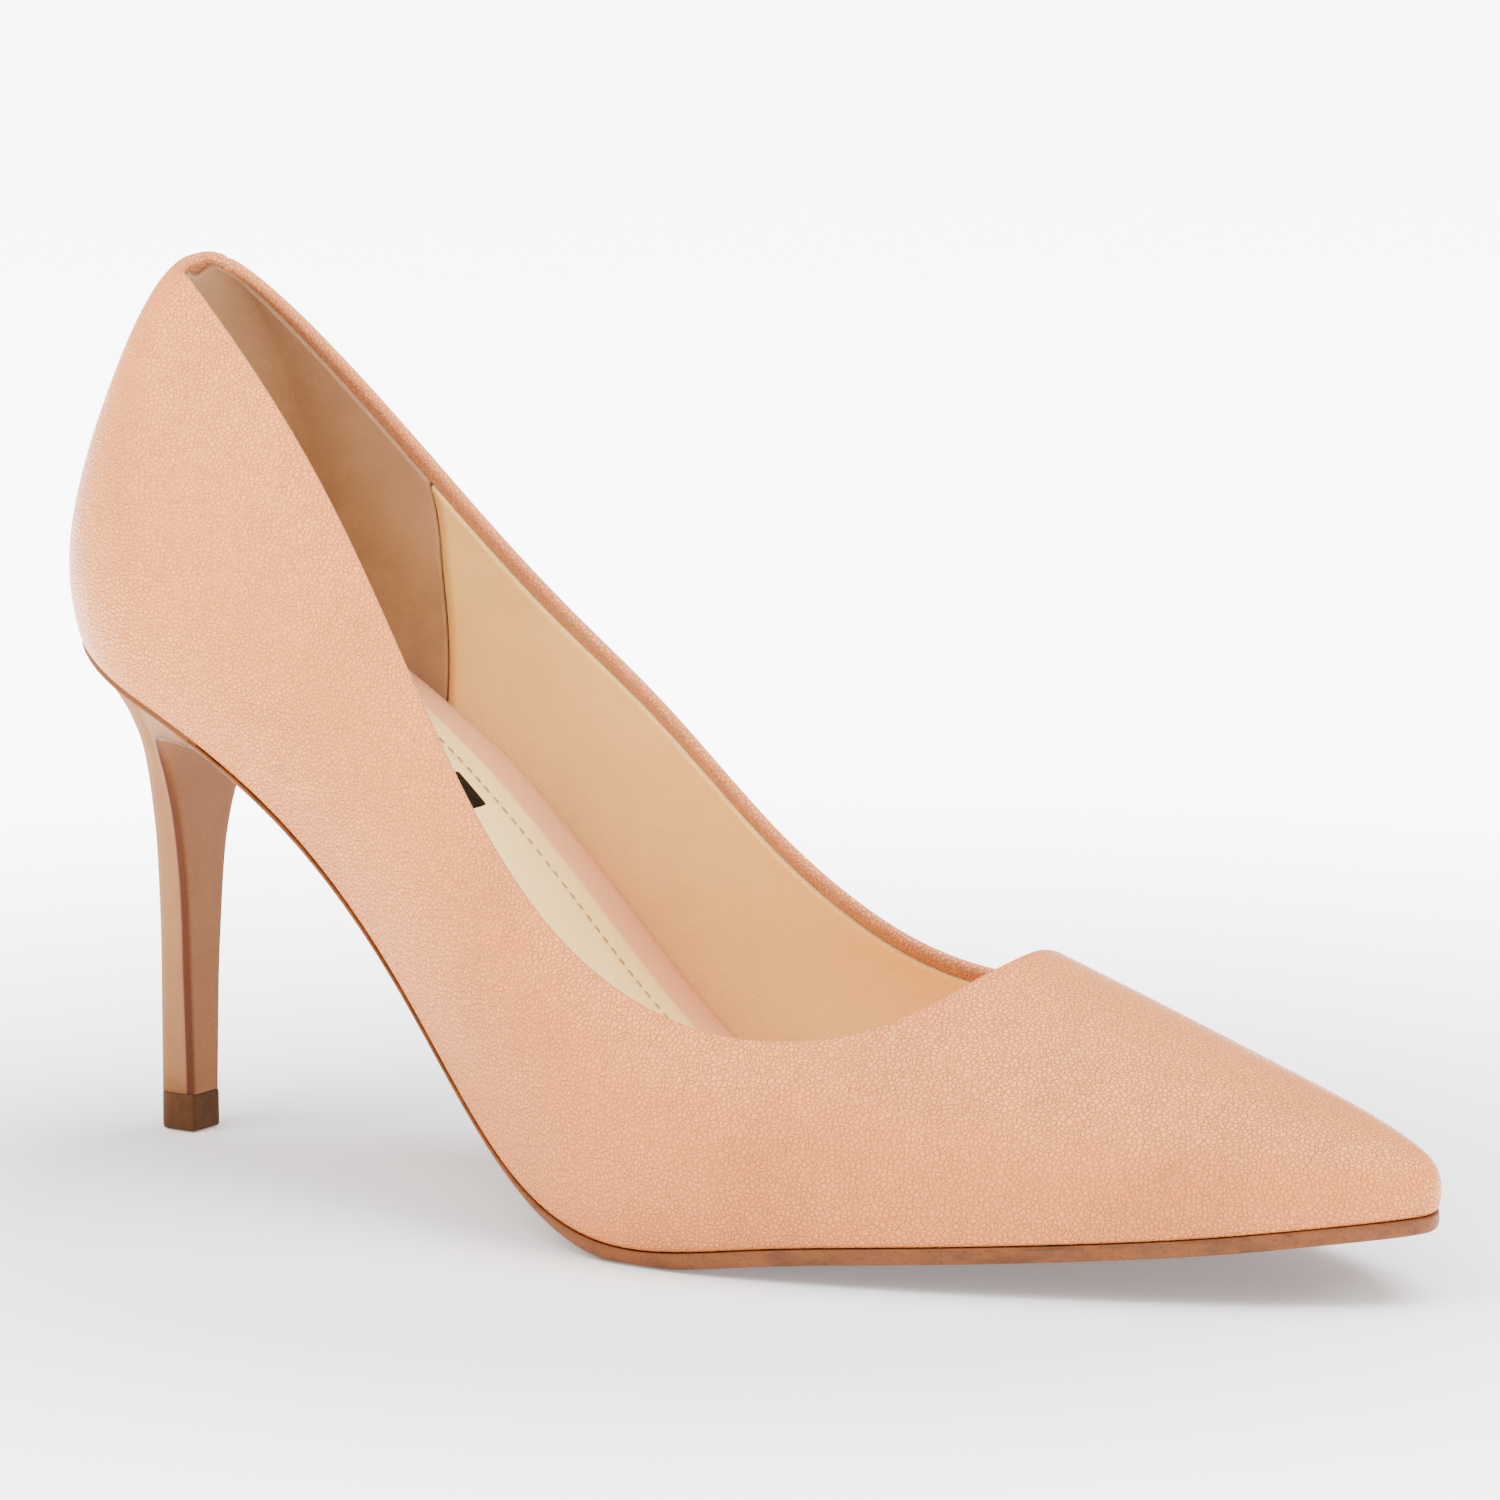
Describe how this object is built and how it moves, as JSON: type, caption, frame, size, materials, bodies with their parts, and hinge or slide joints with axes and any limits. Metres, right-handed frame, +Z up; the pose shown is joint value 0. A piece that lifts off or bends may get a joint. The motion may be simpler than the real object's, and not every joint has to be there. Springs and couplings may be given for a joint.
{
  "type": "high heel pump",
  "caption": "Pointed-toe high heel pump for the right foot: smooth leather upper, thin leather sole, slim covered stiletto heel with a small D-shaped tip.",
  "frame": {"origin": "centre of the heel tip's flat ground face", "axes": "+X towards the toe, +Y towards the inner side of the foot, +Z up from the ground"},
  "size_m": [0.2373, 0.0839, 0.14],
  "materials": {
    "nude_leather": "soft smooth leather with fine grain",
    "backing_textile": "thin woven backing",
    "lining_leather": "smooth lining leather",
    "heel_grip_suede": "suede nap",
    "stiffener": "resin-stiffened board",
    "insole_board": "pressed fibre board",
    "steel": "plain steel",
    "cork": "cork and latex mix",
    "sole_leather": "dyed and polished sole leather",
    "breast_leather": "smooth tan leather",
    "heel_plastic": "moulded",
    "cover_leather": "thin covering leather",
    "tip_rubber": "hard, matt",
    "foam": "soft foam sheet",
    "sock_pink": "smooth sock leather",
    "sock_cream": "smooth padded leather",
    "label_foil": "plain dark stamp"
  },
  "bodies": {
    "root": {"upper_leather": "nude_leather", "upper_backing": "backing_textile", "vamp_quarter_lining": "lining_leather", "heel_grip_lining": "heel_grip_suede", "heel_counter": "stiffener", "toe_puff": "stiffener", "insole_board": "insole_board", "tuck_board": "insole_board", "steel_shank": "steel", "shank_rivet_rear": "steel", "shank_rivet_front": "steel", "bottom_filler": "cork", "outsole": "sole_leather", "heel_breast_flap": "breast_leather", "heel_core": "heel_plastic", "heel_cover": "cover_leather", "heel_dowel": "steel", "top_lift": "tip_rubber", "top_lift_pin": "steel", "insock_foam": "foam", "insock": "sock_pink", "insock_pad": "sock_cream", "insock_label": "label_foil", "heel_screw": "steel", "heel_nail_1": "steel", "heel_nail_2": "steel", "heel_nail_3": "steel", "heel_nail_4": "steel"}
  },
  "joints": []
}
